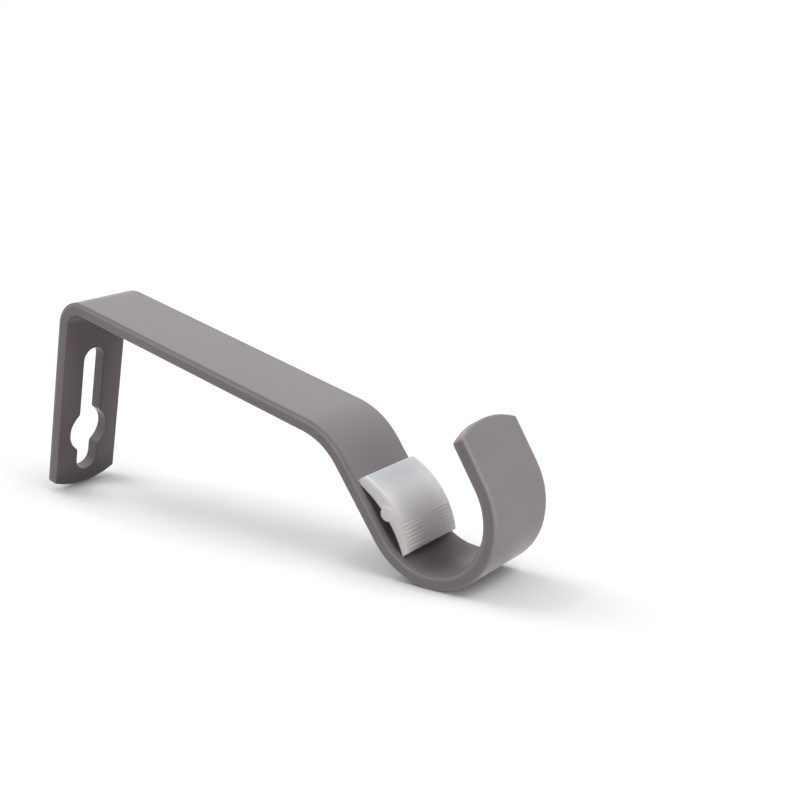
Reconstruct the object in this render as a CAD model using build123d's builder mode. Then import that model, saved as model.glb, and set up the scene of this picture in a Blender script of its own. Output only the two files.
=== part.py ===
from build123d import *
from math import cos, isclose, radians, sin, sqrt
import os

# A wall bracket for a curtain rod: one flat steel strap, bent to a wall plate, an arm, a sloping leg and a
# hook, with a bowed plastic spring pad clipped to the leg, inside the hook.
# Millimetres. The wall is the plane X = 0, +X points into the room and +Z up. The origin is on the wall
# face, on the axis of the screw when the bracket hangs from the upper end of its keyhole.

# Strap
strap_width = 20.0
strap_thickness = 3.3
long_edge_radius = 0.6
end_radius = 23.0
end_corner_radius = 0.7

# Wall plate, with the keyhole's places measured down from the screw's seat
plate_height = 55.4
seat_below_arm_top = 18.7
slot_width = 6.5
entry_diameter = 12.0
entry_below_seat = 20.8
relief_below_seat = 29.2
keyhole_corner_radius = 1.3
keyhole_edge_radius = 0.3

# Arm, leg, hook and tip, with the radius on the inside of each bend
plate_bend_radius = 4.2
arm_reach = 82.8
drop_bend_radius = 15.3
drop_angle = 42.4
leg_length = 18.6
hook_radius = 14.05
hook_turn = 176.6
tip_length = 12.8

# Spring pad: places along it are measured down the leg from the drop bend, heights out from the leg's face
pad_start = 5.3
pad_length = 19.1
pad_side_inset = 1.1
pad_foot_length = 1.2
pad_end_thickness = 2.1
pad_crown_height = 5.4
pad_hollow_height = 2.4
pad_edge_radius = 0.4
rib_diameter = 3.2
rib_depth = 1.0
rib_end_height = 0.2

# Snap peg on the pad's back, and its hole through the leg
peg_diameter = 4.0
peg_head_diameter = 5.2
peg_tip_diameter = 3.4
peg_head_length = 1.8
peg_slit_width = 0.8
peg_slit_length = 3.6
peg_hole_clearance = 0.2
seat_clearance = 0.1

# Worked-out heights and bend radii of the strap's outer line
arm_top_height = seat_below_arm_top
plate_low_height = arm_top_height - plate_height
plate_bend_outer = plate_bend_radius + strap_thickness
drop_bend_outer = drop_bend_radius + strap_thickness
end_rise = end_radius - sqrt(end_radius**2 - (strap_width / 2) ** 2)

# The leg's own plane, through the middle of the strap: x runs down the leg, y stands out of its face
leg_slope = radians(drop_angle)
leg_start = (
    arm_reach + drop_bend_outer * sin(leg_slope),
    0,
    arm_top_height - drop_bend_outer * (1 - cos(leg_slope)),
)
leg_plane = Plane(origin=leg_start, x_dir=(cos(leg_slope), 0, -sin(leg_slope)), z_dir=(0, -1, 0))

# The pad's places in that plane, its far end just clear of the hook, which has begun to curve up there
pad_middle = pad_start + pad_length / 2
pad_end = pad_start + pad_length
hook_rise_at_pad_end = hook_radius - sqrt(hook_radius**2 - (pad_end - leg_length) ** 2)
pad_end_height = hook_rise_at_pad_end + seat_clearance
peg_shoulder_height = -strap_thickness - seat_clearance
peg_tip_height = peg_shoulder_height - peg_head_length
peg_plane = Plane(
    origin=leg_plane.from_local_coords((pad_middle, 0, 0)), x_dir=leg_plane.x_dir, z_dir=leg_plane.y_dir
)
peg_axis = Axis(peg_plane.origin, peg_plane.z_dir)


with BuildPart() as bracket_strap:
    # Side view: the wall face, the arm's top, the leg's face and the hook's inside are one line, thickened
    with BuildSketch(Plane.XZ):
        with BuildLine():
            plate = Line((0, plate_low_height), (0, arm_top_height - plate_bend_outer))
            plate_bend = JernArc(plate @ 1, plate % 1, plate_bend_outer, -90)
            arm = Line(plate_bend @ 1, (arm_reach, arm_top_height))
            drop_bend = JernArc(arm @ 1, arm % 1, drop_bend_outer, -drop_angle)
            leg = PolarLine(drop_bend @ 1, leg_length, direction=drop_bend % 1)
            hook = JernArc(leg @ 1, leg % 1, hook_radius, hook_turn)
            tip = PolarLine(hook @ 1, tip_length, direction=hook % 1)
            offset(amount=strap_thickness, side=Side.RIGHT, closed=True)
        make_face()
    extrude(amount=strap_width / 2, both=True)

    # Both ends are cropped to the same shallow arc, each in the plane of its end, y pointing into the strap
    plate_end = Plane(origin=(0, 0, plate_low_height), x_dir=(0, 1, 0), z_dir=(1, 0, 0))
    tip_direction = Plane.XZ.from_local_coords(tip % 1)
    tip_end = Plane(
        origin=Plane.XZ.from_local_coords(tip @ 1), x_dir=(0, 1, 0), z_dir=tip_direction.cross(Vector(0, 1, 0))
    )
    for end_plane in (plate_end, tip_end):
        with BuildSketch(end_plane):
            with Locations((0, end_rise / 2)):
                Rectangle(2 * strap_width, end_rise)
            with Locations((0, end_radius)):
                Circle(end_radius, mode=Mode.SUBTRACT)
        extrude(amount=2 * strap_thickness, both=True, mode=Mode.SUBTRACT)

    # The corners of both ends and then all the long edges are rounded, before any hole is punched
    fillet(
        bracket_strap.edges().filter_by(lambda edge: isclose(edge.length, strap_thickness, abs_tol=0.01)),
        end_corner_radius,
    )
    outline = bracket_strap.edges().filter_by(Axis.Y, reverse=True)
    fillet(
        outline.filter_by(lambda edge: not isclose(edge.length, strap_thickness, abs_tol=0.01)),
        long_edge_radius,
    )

    # Keyhole: the screw's head goes in at the round entry and its shank runs up the slot to the seat
    with BuildSketch(Plane.YZ) as keyhole:
        with Locations((0, -relief_below_seat / 2)):
            SlotCenterToCenter(relief_below_seat, slot_width, rotation=90)
        with Locations((0, -entry_below_seat)):
            Circle(entry_diameter / 2)
        slot_mouths = keyhole.vertices().sort_by_distance((0, -entry_below_seat))[:4]
        fillet(slot_mouths, keyhole_corner_radius)
    extrude(amount=2 * strap_thickness, both=True, mode=Mode.SUBTRACT)
    keyhole_rims = bracket_strap.edges(Select.LAST).filter_by(Axis.X, reverse=True)
    front_rim = keyhole_rims.group_by(Axis.X)[-1]
    fillet(front_rim, keyhole_edge_radius)

    # Hole through the leg for the pad's peg
    with Locations(peg_plane):
        Hole(peg_diameter / 2 + peg_hole_clearance, depth=2 * strap_thickness)

bracket_strap.part.label = "bracket_strap"


with BuildPart() as spring_insert:
    # Side view of the leaf: a short flat foot on the leg, then bowed clear of it, down to the hook's curve
    with BuildSketch(leg_plane) as leaf:
        with BuildLine():
            foot = Line((pad_start, seat_clearance), (pad_start + pad_foot_length, seat_clearance))
            back = ThreePointArc(foot @ 1, (pad_middle, pad_hollow_height), (pad_end, pad_end_height))
            lower_end = Line(back @ 1, (pad_end, pad_end_height + pad_end_thickness))
            upper_corner = (pad_start, seat_clearance + pad_end_thickness)
            front = ThreePointArc(lower_end @ 1, (pad_middle, pad_crown_height), upper_corner)
            upper_end = Line(front @ 1, foot @ 0)
        make_face()
    extrude(amount=strap_width / 2 - pad_side_inset, both=True)
    front_face = spring_insert.faces().filter_by(GeomType.CYLINDER).sort_by(SortBy.AREA)[-1]
    fillet(front_face.edges(), pad_edge_radius)

    # Round rib across the middle of the back, its ends standing a little out of the leaf's sides
    with BuildSketch(leg_plane):
        with Locations((pad_middle, pad_hollow_height - rib_depth + rib_diameter / 2)):
            Circle(rib_diameter / 2)
    extrude(amount=strap_width / 2 - pad_side_inset + rib_end_height, both=True)

    # Snap peg: a stem through the leg and a tapered head behind it, split so that it can squeeze through
    with BuildSketch(leg_plane):
        with BuildLine():
            Polyline(
                (pad_middle, pad_hollow_height),
                (pad_middle + peg_diameter / 2, pad_hollow_height),
                (pad_middle + peg_diameter / 2, peg_shoulder_height),
                (pad_middle + peg_head_diameter / 2, peg_shoulder_height),
                (pad_middle + peg_tip_diameter / 2, peg_tip_height),
                (pad_middle, peg_tip_height),
                close=True,
            )
        make_face()
    revolve(axis=peg_axis)
    with BuildSketch(leg_plane):
        with Locations((pad_middle, peg_tip_height)):
            Rectangle(peg_slit_width, 2 * peg_slit_length)
    extrude(amount=peg_head_diameter, both=True, mode=Mode.SUBTRACT)

spring_insert.part.label = "spring_insert"

os.makedirs("parts", exist_ok=True)
for piece in (bracket_strap, spring_insert):
    export_step(piece.part, f"parts/{piece.part.label}.step")
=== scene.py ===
from math import cos, pi, radians, sin

import bpy
from mathutils import Matrix, Vector


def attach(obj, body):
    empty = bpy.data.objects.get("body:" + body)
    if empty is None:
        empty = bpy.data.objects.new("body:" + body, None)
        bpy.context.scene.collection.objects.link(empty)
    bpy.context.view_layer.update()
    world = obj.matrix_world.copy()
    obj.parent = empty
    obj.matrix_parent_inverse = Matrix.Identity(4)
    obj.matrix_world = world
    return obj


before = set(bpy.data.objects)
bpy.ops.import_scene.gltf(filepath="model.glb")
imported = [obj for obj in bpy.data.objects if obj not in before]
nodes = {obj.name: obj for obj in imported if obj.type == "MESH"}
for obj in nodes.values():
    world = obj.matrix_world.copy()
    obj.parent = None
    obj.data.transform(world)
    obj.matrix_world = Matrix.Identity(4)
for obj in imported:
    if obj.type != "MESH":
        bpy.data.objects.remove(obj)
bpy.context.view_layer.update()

scene = bpy.context.scene


# Bracket strap
# One length of flat steel bar, 20 mm wide and 3 mm thick, cropped at both ends, punched with the keyhole and
# bent cold into plate, arm, leg and hook. It is then powder coated in a satin grey brown, all over.


class Value:
    """A number, place or colour that varies over a piece: sums and products of it add Math nodes."""

    def __init__(self, graph, socket):
        self.graph = graph
        self.socket = socket

    def __add__(self, other):
        return self.graph.math("ADD", self, other)

    def __sub__(self, other):
        return self.graph.math("SUBTRACT", self, other)

    def __rsub__(self, other):
        return self.graph.math("SUBTRACT", other, self)

    def __mul__(self, other):
        return self.graph.math("MULTIPLY", self, other)

    def __truediv__(self, other):
        return self.graph.math("DIVIDE", self, other)

    def __pow__(self, other):
        return self.graph.math("POWER", self, other)

    __radd__ = __add__
    __rmul__ = __mul__


class Graph:
    """The nodes of one material, shape or room."""

    def __init__(self, tree):
        self.tree = tree

    def node(self, kind, settings=None, inputs=()):
        """Adds a node: its settings first, then the values or links of its sockets, by name or in order."""
        node = self.tree.nodes.new(kind)
        for name, value in (settings or {}).items():
            setattr(node, name, value)
        pairs = inputs.items() if isinstance(inputs, dict) else enumerate(inputs)
        for key, value in pairs:
            self.plug(node.inputs[key], value)
        return node

    def value(self, kind, settings=None, inputs=(), output=0):
        """Adds a node and gives what one of its outputs says."""
        return Value(self, self.node(kind, settings, inputs).outputs[output])

    def plug(self, socket, value):
        if isinstance(value, Value):
            self.tree.links.new(value.socket, socket)
        else:
            socket.default_value = value

    def math(self, operation, *inputs):
        return self.value("ShaderNodeMath", {"operation": operation}, inputs)

    def combine(self, x, y, z):
        return self.value("ShaderNodeCombineXYZ", {}, (x, y, z))

    def split(self, vector):
        return [self.value("ShaderNodeSeparateXYZ", {}, [vector], axis) for axis in range(3)]

    def rays(self):
        """Three values, 1 on the rays of the camera, on mirrored rays and on rays through clear pieces."""
        kinds = ("Camera", "Glossy", "Transmission")
        return [self.value("ShaderNodeLightPath", output=f"Is {kind} Ray") for kind in kinds]


class Finish(Graph):
    """A material on a Principled surface, whose sockets are fed by name."""

    def __init__(self, name, **constants):
        self.material = bpy.data.materials.new(name)
        self.material.use_nodes = True
        super().__init__(self.material.node_tree)
        self.surface = self.tree.nodes["Principled BSDF"]
        self.feed(**constants)

    def feed(self, **values):
        for name, value in values.items():
            self.plug(self.surface.inputs[name.replace("_", " ")], value)

    def place(self):
        """Where a point of the piece lies, in metres, in the bracket's own frame."""
        return self.value("ShaderNodeTexCoord", output="Object")

    def normal(self):
        return self.value("ShaderNodeNewGeometry", output="Normal")

    def mix(self, share, a, b):
        """Colour a where share is 0 and colour b where it is 1."""
        node = self.node("ShaderNodeMix", {"data_type": "RGBA"})
        for key, value in (("Factor_Float", share), ("A_Color", a), ("B_Color", b)):
            self.plug(next(socket for socket in node.inputs if socket.identifier == key), value)
        return Value(self, next(socket for socket in node.outputs if socket.identifier == "Result_Color"))

    def between(self, value, low, high):
        """0 below low, 1 above high and smooth between them."""
        limits = {"Value": value, "From Min": low, "From Max": high}
        return self.value("ShaderNodeMapRange", {"interpolation_type": "SMOOTHSTEP"}, limits)

    def noise(self, place, scale, detail):
        return self.value("ShaderNodeTexNoise", {}, {"Vector": place, "Scale": scale, "Detail": detail})

    def grain(self, height, strength, **inputs):
        """A fine grain, at most a tenth of a millimetre deep."""
        inputs |= {"Height": height, "Strength": strength, "Distance": 0.0001}
        return self.value("ShaderNodeBump", {}, inputs)


# The strap's driving sizes in metres, as in the solid. The radii are those of the line that is followed:
# the plate's back, the arm's top, the leg's face and the hook's inside, seen from the side as (x, z).
strap_thickness = 0.0033
plate_foot = -0.0367
plate_bend_radius = 0.0075
arm_top = 0.0187
arm_reach = 0.0828
drop_bend_radius = 0.0186
drop_angle = radians(42.4)
leg_length = 0.0186
hook_radius = 0.01405
hook_turn = radians(176.6)
tip_length = 0.0128

rise = Vector((0, 1))
ahead = Vector((1, 0))
drop = Vector((cos(-drop_angle), sin(-drop_angle)))
hooked = Vector((cos(hook_turn - drop_angle), sin(hook_turn - drop_angle)))

plate_bend_centre = Vector((plate_bend_radius, arm_top - plate_bend_radius))
drop_bend_centre = Vector((arm_reach, arm_top - drop_bend_radius))
leg_start = drop_bend_centre + drop_bend_radius * drop.orthogonal()
hook_centre = leg_start + leg_length * drop + hook_radius * drop.orthogonal()
tip_start = hook_centre - hook_radius * hooked.orthogonal()

# Each run has its start, heading and length. Each bend has its centre, its radius, 1 where the line is on the
# outside of the bend or -1 on the inside, its first and last headings, and how far out the steel reaches.
runs = [
    (Vector((0, plate_foot)), rise, arm_top - plate_bend_radius - plate_foot),
    (Vector((plate_bend_radius, arm_top)), ahead, arm_reach - plate_bend_radius),
    (leg_start, drop, leg_length),
    (tip_start, hooked, tip_length),
]
bends = [
    (plate_bend_centre, plate_bend_radius, 1, rise, ahead, plate_bend_radius),
    (drop_bend_centre, drop_bend_radius, 1, ahead, drop, drop_bend_radius),
    (hook_centre, hook_radius, -1, drop, hooked, hook_radius + strap_thickness),
]
run_margin = 0.006
bend_margin = 0.0006


def within(value, low, high):
    """1 between two limits and 0 outside them."""
    return value.graph.math("GREATER_THAN", value, low) * value.graph.math("LESS_THAN", value, high)


def strap_place(x, z):
    """How deep a point lies below the line, the line's own facing there, and 1 inside the bends."""
    depth = face_x = face_z = bent = 0.0
    for (start_x, start_z), (head_x, head_z), length in runs:
        along = (x - start_x) * head_x + (z - start_z) * head_z
        out = (z - start_z) * head_x - (x - start_x) * head_z
        here = within(along, 0.0, length) * within(out, -run_margin, run_margin)
        depth = depth - here * out
        face_x = face_x - here * head_z
        face_z = face_z + here * head_x
    for (centre_x, centre_z), radius, side, begin, end, steel_reach in bends:
        from_x, from_z = x - centre_x, z - centre_z
        distance = (from_x * from_x + from_z * from_z) ** 0.5
        reach = steel_reach + bend_margin
        past_begin = within(from_x * begin.x + from_z * begin.y, 0.0, reach)
        before_end = within(from_x * end.x + from_z * end.y, -reach, 0.0)
        here = past_begin * before_end * within(distance, 0.0, reach)
        depth = depth + here * side * (radius - distance)
        face_x = face_x + here * side * from_x / distance
        face_z = face_z + here * side * from_z / distance
        bent = bent + here
    return depth, face_x, face_z, bent


def halfway(sideways):
    """1 on a rounded edge, halfway between face and side, and 0 on the face and on the side."""
    return 4 * sideways * (1 - sideways)


coat_colour = (0.234, 0.210, 0.216, 1)
coat_dark = (0.221, 0.198, 0.203, 1)
coat_wear_and_painted_highlight = (0.305, 0.275, 0.281, 1)
coat_hook_painted_shade = (0.180, 0.152, 0.145, 1)
coat_plate_painted_shade = (0.135, 0.110, 0.107, 1)
coat_foot_painted_contact_shade = (0.050, 0.042, 0.040, 1)

coating = Finish("satin_powder_coating", Specular_IOR_Level=0.3, Coat_Roughness=0.15)
place = coating.place()
x, y, z = coating.split(place)
normal_x, normal_y, normal_z = coating.split(coating.normal())
depth, face_x, face_z, bent = strap_place(x, z)
across = coating.math("ABSOLUTE", y)
sideways = normal_y * normal_y

# Inside the bends the coat takes the true round, and no facet of the mesh shows
facing = coating.math("SIGN", normal_x * face_x + normal_z * face_z)
flat_share = coating.math("MAXIMUM", 1 - sideways, 0.0) ** 0.5 * facing
normal_x = normal_x + bent * (flat_share * face_x - normal_x)
normal_z = normal_z + bent * (flat_share * face_z - normal_z)

# Inside the hook the coat is dull, and its colour is darker: a painted shade for the shade inside the hook.
# That the curtain rod has rubbed it so is a guess.
hook_begins = (0.100, 0.108)
in_hook = coating.between(x, *hook_begins)
hook_painted_shade = in_hook * coating.between(flat_share, 0.3, 0.9)

# One long edge is rolled over, at a guess by the slitting knife: a round shoulder on the face and a slanting
# lip on the side. The shoulder begins so far from the strap's middle, and the other places are depths below
# the face.
shoulder_begins, shoulder_ends, shoulder_tilt = (0.0090, 0.0098), (0.0002, 0.0004), 1.5
lip_begins, lip_ends, lip_tilt = (0.0002, 0.0006), (0.0008, 0.0012), 0.8
near_edge = coating.math("LESS_THAN", y, 0.0)
shoulder = coating.between(across, *shoulder_begins) * (1 - coating.between(depth, *shoulder_ends))
shoulder = shoulder * near_edge
lip = coating.between(depth, *lip_begins) * (1 - coating.between(depth, *lip_ends)) * sideways * near_edge
lip = lip * (1 - 0.5 * in_hook)
rolled = coating.combine(
    normal_x + lip_tilt * lip * face_x,
    normal_y - shoulder_tilt * shoulder,
    normal_z + lip_tilt * lip * face_z,
)
rolled = coating.value("ShaderNodeVectorMath", {"operation": "NORMALIZE"}, [rolled])

# The coat is lightly clouded, and lighter on the rounded edges and the lip, at a guess polished by
# handling. It is lighter on the rounded edges, partly from wear and partly a painted highlight, and on the
# lip and along the back edge, where the lighter colour is a painted highlight
back_edge_depth, back_edge_side = (0.0026, 0.0031), (0.0090, 0.0096)
cloud = coating.noise(place, scale=60, detail=3)
colour = coating.mix(coating.between(cloud, 0.35, 0.7), coat_dark, coat_colour)
corner = halfway(sideways)
back_edge = coating.between(depth, *back_edge_depth) * coating.between(across, *back_edge_side)
# Painted highlight on the lip and the back edge, and partly on the rounded edges
colour = coating.mix(0.3 * corner * corner * (1 - shoulder) + lip + 0.7 * back_edge, colour, coat_wear_and_painted_highlight)
# Painted shade inside the hook: the coat's colour is darkened there
colour = coating.mix(0.6 * hook_painted_shade, colour, coat_hook_painted_shade)

# The wall plate's front is painted darker, as are its sides near the arm, and its foot darker still: a
# painted shade in the lee of the arm and a painted contact shade at the foot. A thin coat in the lee of the
# arm is a guess: part of the front's tone may be shade, and the foot's is most likely contact shade.
plate_ends = (0.004, 0.012)
foot_ends = (-0.0365, -0.028)
on_plate = 1 - coating.between(x, *plate_ends)
plate_front = on_plate * coating.between(normal_x, 0.5, 0.9)
foot = plate_front * (1 - coating.between(z, *foot_ends))
colour = coating.mix(0.85 * plate_front + 0.5 * on_plate * sideways, colour, coat_plate_painted_shade)
colour = coating.mix(0.75 * foot, colour, coat_foot_painted_contact_shade)

peel = coating.noise(place, scale=900, detail=3)
speckle = coating.noise(place, scale=1500, detail=2)
coating.feed(
    Base_Color=colour,
    Roughness=0.42 + 0.05 * cloud,
    Coat_Weight=0.5 - 0.35 * hook_painted_shade,
    Normal=coating.grain(0.7 * peel + 0.3 * speckle, strength=0.12, Normal=rolled),
)
strap = nodes["bracket_strap"]
strap.data.materials.clear()
strap.data.materials.append(coating.material)


# Spring pad
# A bowed leaf of natural plastic, moulded in one piece with the rib and the snap peg on its back. The peg,
# which the photo hides and which is a guess, goes through a hole in the leg, and the leaf gives way when the
# curtain rod is pressed into the hook.

# The pad is tinted darker and cooler towards its top and warmer towards its foot. The tints of the top, the
# foot and the rounded edges follow the photo's tones. Its rounded edges are darker, a painted shade that
# tones down the bright line the lamps draw on them. That thinner plastic causes the first two is a guess,
# and the third only tones down a bright line that the photo doesn't show.
milky = (0.97, 0.975, 0.98, 1)
cloudy = (0.94, 0.945, 0.95, 1)
top_tint = (0.70, 0.715, 0.745, 1)
foot_tint = (0.985, 0.93, 0.905, 1)
pad_edge_painted_shade = (0.62, 0.61, 0.60, 1)

# Places down the leg, where the darker top ends and the warmer foot begins, and places out from the leaf's
# middle, where its sides and their rounded edges begin
top_ends = (0.006, 0.0125)
foot_begins = (0.016, 0.023)
side_begins = (0.0076, 0.0088)
edge_begins = (0.0083, 0.0086)

plastic = Finish(
    "natural_plastic",
    Specular_IOR_Level=0.75,
    Subsurface_Weight=0.4,
    Subsurface_Scale=0.003,
    Subsurface_Radius=(1.0, 0.97, 0.94),
)
place = plastic.place()
x, y, z = plastic.split(place)
normal_y = plastic.split(plastic.normal())[1]
down_leg = (x - leg_start.x) * drop.x + (z - leg_start.y) * drop.y
across = plastic.math("ABSOLUTE", y)
on_side = plastic.between(across, *side_begins)
sideways = normal_y * normal_y
rounded = halfway(sideways) * plastic.between(across, *edge_begins)
near_top = (1 - plastic.between(down_leg, *top_ends)) * (1 - on_side)
near_foot = plastic.between(down_leg, *foot_begins) * (1 - 0.6 * on_side)
cloud = plastic.noise(place, scale=180, detail=3)
fine = plastic.noise(place, scale=2500, detail=2)
colour = plastic.mix(plastic.between(cloud, 0.3, 0.7), cloudy, milky)
colour = plastic.mix(near_top, colour, top_tint)
colour = plastic.mix(near_foot, colour, foot_tint)
# Painted shade on the pad's rounded edges
colour = plastic.mix(0.8 * rounded, colour, pad_edge_painted_shade)
plastic.feed(Base_Color=colour, Roughness=0.38 + 0.1 * cloud, Normal=plastic.grain(fine, strength=0.1))
pad = nodes["spring_insert"]
pad.data.materials.clear()
pad.data.materials.append(plastic.material)


# Grip ridges
# Seven fine round ridges across the lower part of the pad's front, likely there to keep the curtain rod from
# turning. They are of the pad's own plastic, moulded with it. That they stand a hundredth of a millimetre out
# is a guess.

ridge_milky = (0.97, 0.95, 0.94, 1)
ridge_cloudy = (0.94, 0.91, 0.895, 1)

ridge_plastic = Finish("ridge_plastic", Specular_IOR_Level=0.4, Roughness=0.4)
cloud = ridge_plastic.noise(ridge_plastic.place(), scale=180, detail=3)
colour = ridge_plastic.mix(ridge_plastic.between(cloud, 0.3, 0.7), ridge_cloudy, ridge_milky)
ridge_plastic.feed(Base_Color=colour)

# The pad's front is one arc round this centre. Angles on it are measured from straight up, and at the leg's
# own angle it stands highest off the leg.
face_centre = (0.09788, 0.0, -0.007009)
first_ridge_past_highest = radians(8.0)
sizes = {
    "Ridge Count": ("NodeSocketInt", 7),
    "Pitch": ("NodeSocketFloat", 0.00082),
    "Face Radius": ("NodeSocketFloat", 0.019113),
    "First Angle": ("NodeSocketFloat", drop_angle + first_ridge_past_highest),
    "Ridge Width": ("NodeSocketFloat", 0.00032),
    "Ridge Height": ("NodeSocketFloat", 0.00001),
    "Ridge Length": ("NodeSocketFloat", 0.0172),
}
ridge_tree = bpy.data.node_groups.new("grip_ridges", "GeometryNodeTree")
ridge_tree.interface.new_socket("Geometry", in_out="OUTPUT", socket_type="NodeSocketGeometry")
for name, (kind, value) in sizes.items():
    ridge_tree.interface.new_socket(name, in_out="INPUT", socket_type=kind)

ridges = Graph(ridge_tree)
group_input = ridges.node("NodeGroupInput")
size = {name: Value(ridges, group_input.outputs[name]) for name in sizes}
line = ridges.value("GeometryNodeMeshLine", {}, {"Count": size["Ridge Count"]})
index = ridges.value("GeometryNodeInputIndex")
angle = size["First Angle"] + index * (size["Pitch"] / size["Face Radius"])
sine, cosine = ridges.math("SINE", angle), ridges.math("COSINE", angle)
spot = ridges.combine(sine * size["Face Radius"], 0.0, cosine * size["Face Radius"])
places = {"Geometry": line, "Position": spot, "Offset": face_centre}
points = ridges.value("GeometryNodeSetPosition", {}, places)
bar = ridges.value("GeometryNodeMeshCylinder", {}, {"Vertices": 32, "Radius": 0.5, "Depth": 1.0})
bar = ridges.value("GeometryNodeTransform", {}, {"Geometry": bar, "Rotation": (pi / 2, 0, 0)})
turn = ridges.combine(0.0, angle, 0.0)
stretch = ridges.combine(size["Ridge Width"], size["Ridge Length"], 2 * size["Ridge Height"])
copies = {"Points": points, "Instance": bar, "Rotation": turn, "Scale": stretch}
bars = ridges.value("GeometryNodeInstanceOnPoints", {}, copies)
bars = ridges.value("GeometryNodeRealizeInstances", {}, [bars])
bars = ridges.value("GeometryNodeSetShadeSmooth", {}, [bars])
bars = ridges.value("GeometryNodeSetMaterial", {}, {"Geometry": bars, "Material": ridge_plastic.material})
ridges.node("NodeGroupOutput", {}, [bars])

seed = bpy.data.objects.new("ridge_seed", bpy.data.meshes.new("ridge_seed"))
scene.collection.objects.link(seed)
grow = seed.modifiers.new("grip_ridges", "NODES")
grow.node_group = ridge_tree
for item in ridge_tree.interface.items_tree:
    if item.in_out == "INPUT":
        grow[item.identifier] = sizes[item.name][1]
bpy.context.view_layer.update()
grown = seed.evaluated_get(bpy.context.evaluated_depsgraph_get())
ridge_mesh = bpy.data.meshes.new_from_object(grown)
bpy.data.objects.remove(seed)
ridge_mesh.name = "pad_grip_ridges"
ridge_piece = bpy.data.objects.new("pad_grip_ridges", ridge_mesh)
scene.collection.objects.link(ridge_piece)
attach(ridge_piece, "root")


# Table top
# A white studio table. The bracket lies on it on its plate's lower end and its hook, so in the bracket's own
# frame the table slopes. It is seen from above only.

table_slope = radians(14.88)
table_middle = Vector((0.060, 0, -0.0219))
table_turn = Matrix.Rotation(-table_slope, 4, "Y")
table_reach = 60.0
corners = [
    table_middle + table_turn @ Vector((x * table_reach, y * table_reach, 0))
    for x, y in ((-1, -1), (1, -1), (1, 1), (-1, 1))
]
table_mesh = bpy.data.meshes.new("table_top")
table_mesh.from_pydata(corners, [], [(0, 1, 2, 3)])
table = bpy.data.objects.new("table_top", table_mesh)
scene.collection.objects.link(table)

# Seen or mirrored, the top is white and glows a little, but it throws only a dim warm light on the bracket.
# Beside what stands near it the glow is taken away, so that shadow and contact stay.
thrown_back = (0.20, 0.145, 0.13, 1)
seen_white = (0.6, 0.6, 0.6, 1)
glow_strength = 0.43
shadow_reach = 0.018
contact_reach = 0.003
white_top = Finish("white_table_top", Roughness=0.6, Specular_IOR_Level=0.2)


def openness(reach):
    """1 on the open table and less beside what stands within reach."""
    return white_top.value("ShaderNodeAmbientOcclusion", {"samples": 8}, {"Distance": reach}, "AO")


seen, glossy, passed = white_top.rays()
mirrored = glossy + passed
shown = white_top.between(seen + mirrored, 0.4, 0.6)
white_top.feed(Base_Color=white_top.mix(shown, thrown_back, seen_white))
strength = glow_strength * (seen * openness(shadow_reach) * openness(contact_reach) + mirrored)
glow = white_top.value("ShaderNodeEmission", {}, {"Color": (1, 1, 1, 1), "Strength": strength})
top = Value(white_top, white_top.surface.outputs[0])
lit = white_top.value("ShaderNodeAddShader", {}, [top, glow])
clear = white_top.value("ShaderNodeBsdfTransparent")
from_below = white_top.value("ShaderNodeNewGeometry", output="Backfacing")
one_way = white_top.value("ShaderNodeMixShader", {}, [from_below, lit, clear])
white_top.plug(white_top.tree.nodes["Material Output"].inputs["Surface"], one_way)
table_mesh.materials.append(white_top.material)


# Studio light
# Four broad soft lamps in a white room: one over the plate's end, two over the hook's end and one in front.
# They are so far away that the whole table is lit alike, and what gloss mirrors is the room and the table.


def soft_lamp(name, along, across, up, spread, strength):
    """A lamp that shines down from one direction, given along, across and up from the table."""
    lamp = bpy.data.lights.new(name, "SUN")
    lamp.angle = radians(spread)
    lamp.energy = strength
    holder = bpy.data.objects.new(name, lamp)
    scene.collection.objects.link(holder)
    holder.visible_glossy = False
    holder.rotation_mode = "QUATERNION"
    holder.rotation_quaternion = (table_turn @ Vector((along, across, up))).to_track_quat("Z", "Y")


soft_lamp("left_lamp", -1.0, 0.0, 1.0, spread=42, strength=1.85)
soft_lamp("high_right_lamp", 1.0, 0.0, 1.5, spread=34, strength=1.3)
soft_lamp("low_right_lamp", 1.0, 0.0, 0.36, spread=30, strength=1.35)
soft_lamp("front_lamp", 0.0, -1.0, 0.36, spread=50, strength=1.05)

# The room is seen and mirrored, and lights nothing else
room = bpy.data.worlds.new("white_room")
room.use_nodes = True
scene.world = room
walls = Graph(room.node_tree)
seen, glossy, passed = walls.rays()
background = walls.tree.nodes["Background"]
walls.plug(background.inputs["Color"], (1, 1, 1, 1))
shown = walls.math("MAXIMUM", walls.math("MAXIMUM", seen, glossy), passed)
walls.plug(background.inputs["Strength"], shown)


# Camera
# It stands in front of the near side of the bracket and above it, and its place, turn and lens come from the
# photo's own perspective.

camera_data = bpy.data.cameras.new("camera")
camera_data.sensor_width = 36
camera_data.lens = 59.54
camera_data.clip_start = 0.01
camera_data.clip_end = 100
camera = bpy.data.objects.new("camera", camera_data)
scene.collection.objects.link(camera)
camera.location = (0.24587, -0.21900, 0.14292)
camera.rotation_euler = (radians(66.0095), radians(-9.5564), radians(37.8298))
scene.camera = camera

scene.view_settings.view_transform = "Standard"
